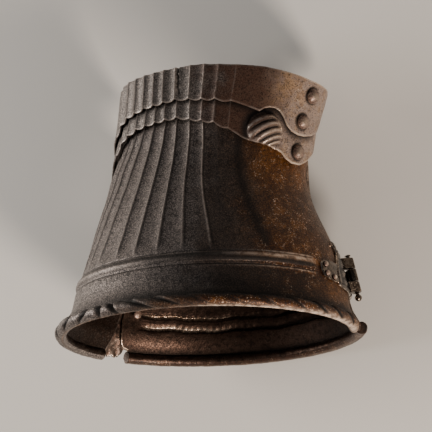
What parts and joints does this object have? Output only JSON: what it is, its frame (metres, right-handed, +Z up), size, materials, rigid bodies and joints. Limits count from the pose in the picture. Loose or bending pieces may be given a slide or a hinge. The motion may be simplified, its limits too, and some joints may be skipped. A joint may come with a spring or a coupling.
{
  "type": "fluted steel gauntlet cuff",
  "caption": "Fluted steel gauntlet cuff for the forearm, with a hinged inner-wrist plate and two riveted wrist lames, open at rim and wrist.",
  "frame": {"origin": "centre of the bounding box, on the plane that the gauntlet lies on", "axes": "+Z up from the resting plane, +Y towards the hand, +X towards the little-finger side"},
  "size_m": [0.1486, 0.1512, 0.1242],
  "materials": {
    "fluted_steel": "hammered and fluted sheet steel, aged grey-brown, worn bright along the ridges and rim",
    "inner_plate_steel": "plain sheet steel, browned inside, worn bright along its edges",
    "lame_steel": "fluted sheet steel, polished by wear over a brown patina",
    "rivet_iron": "domed iron rivets, dark in the recess and bright on the crown",
    "hinge_iron": "wrought iron hinge, filed edges worn bright"
  },
  "bodies": {
    "cuff_body": {"cuff_plate": "fluted_steel", "hinge_leaf_cuff": "hinge_iron", "hinge_leaf_cuff_rivet_1": "rivet_iron", "hinge_leaf_cuff_rivet_2": "rivet_iron", "hinge_leaf_cuff_rivet_3": "rivet_iron", "hinge_pin": "hinge_iron"},
    "inner_plate_body": {"palm_plate": "inner_plate_steel", "hinge_leaf_palm": "hinge_iron", "hinge_leaf_palm_rivet_1": "rivet_iron", "hinge_leaf_palm_rivet_2": "rivet_iron", "closing_tab": "inner_plate_steel", "tab_rivet": "rivet_iron"},
    "lower_lame_body": {"lower_lame": "lame_steel", "cuff_pivot_little_side": "rivet_iron", "cuff_pivot_thumb_side": "rivet_iron"},
    "upper_lame_body": {"upper_lame": "lame_steel", "lame_pivot_little_side": "rivet_iron", "lame_pivot_thumb_side": "rivet_iron", "free_rivet_little_side": "rivet_iron", "free_rivet_thumb_side": "rivet_iron"}
  },
  "joints": [
    {"name": "inner_plate_hinge", "type": "hinge", "parent": "cuff_body", "child": "inner_plate_body", "pos_m": [0.06772, -0.0451, 0.03292], "axis": [0.213, -0.9471, 0.2402], "range_deg": [0, 100]},
    {"name": "lower_lame_pivot", "type": "hinge", "parent": "cuff_body", "child": "lower_lame_body", "pos_m": [0.00146, 0.02523, 0.03645], "axis": [-0.9974, -0.0254, -0.0677], "range_deg": [-7, 6]},
    {"name": "upper_lame_pivot", "type": "hinge", "parent": "lower_lame_body", "child": "upper_lame_body", "pos_m": [0.0043, 0.03875, 0.03263], "axis": [-0.9967, -0.0283, -0.0755], "range_deg": [-7, 6]}
  ]
}
